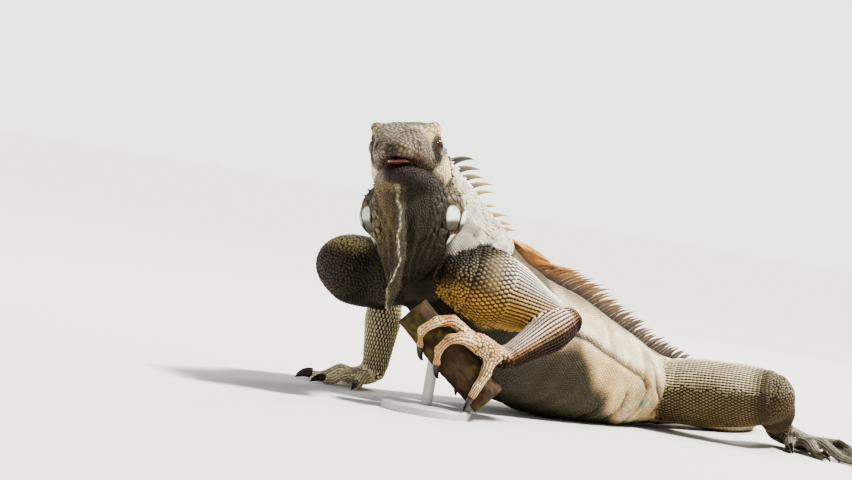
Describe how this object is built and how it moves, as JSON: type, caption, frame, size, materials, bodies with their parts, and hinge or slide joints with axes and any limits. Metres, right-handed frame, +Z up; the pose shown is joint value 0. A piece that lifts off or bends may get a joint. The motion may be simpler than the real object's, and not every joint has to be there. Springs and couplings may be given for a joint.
{
  "type": "green iguana",
  "caption": "Life-size still model of an adult male green iguana, chest raised, one hand gripping a short perch branch on a plain stand",
  "frame": {"origin": "middle of the outline, on the floor", "axes": "+Z up; the body lies along Y with the head towards -Y and the tail towards +Y; the animal's left side is +X"},
  "size_m": [0.8538, 1.107, 0.2026],
  "materials": {
    "skin": "dry scaled skin, satin",
    "arm": "pale scale rows over dark skin, satin",
    "throat": "thin wrinkled skin, matte",
    "shield": "smooth horny plate, satin gloss",
    "eye": "wet gloss",
    "ear": "thin taut membrane, satin",
    "tongue": "moist gloss",
    "claw": "dark horn, semi gloss",
    "crest": "soft horny spines, satin",
    "bark": "rough bark",
    "stand": "plain satin paint"
  },
  "bodies": {
    "root": {"trunk": "skin", "neck": "skin", "tail_1": "skin", "tail_2": "skin", "tail_3": "skin", "tail_4": "skin", "tail_5": "skin", "head": "skin", "lower_jaw": "skin", "thigh_l": "skin", "thigh_r": "skin", "shank_l": "skin", "shank_r": "skin", "foot_l": "skin", "foot_r": "skin", "upper_arm_l": "arm", "upper_arm_r": "arm", "forearm_l": "arm", "forearm_r": "arm", "hand_l": "arm", "hand_r": "arm", "throat": "throat", "dewlap": "throat", "shield_l": "shield", "shield_r": "shield", "eye_l": "eye", "eye_r": "eye", "ear_l": "ear", "ear_r": "ear", "tongue": "tongue", "claw_hand_l_1": "claw", "claw_hand_l_2": "claw", "claw_hand_l_3": "claw", "claw_hand_l_4": "claw", "claw_hand_l_5": "claw", "claw_hand_r_1": "claw", "claw_hand_r_2": "claw", "claw_hand_r_3": "claw", "claw_hand_r_4": "claw", "claw_hand_r_5": "claw", "claw_foot_l_1": "claw", "claw_foot_l_2": "claw", "claw_foot_l_3": "claw", "claw_foot_l_4": "claw", "claw_foot_l_5": "claw", "claw_foot_r_1": "claw", "claw_foot_r_2": "claw", "claw_foot_r_3": "claw", "claw_foot_r_4": "claw", "claw_foot_r_5": "claw", "crest_back": "crest", "crest_neck": "crest", "crest_tail": "crest", "perch_branch": "bark", "stand_rod": "stand", "stand_base": "stand"}
  },
  "joints": []
}
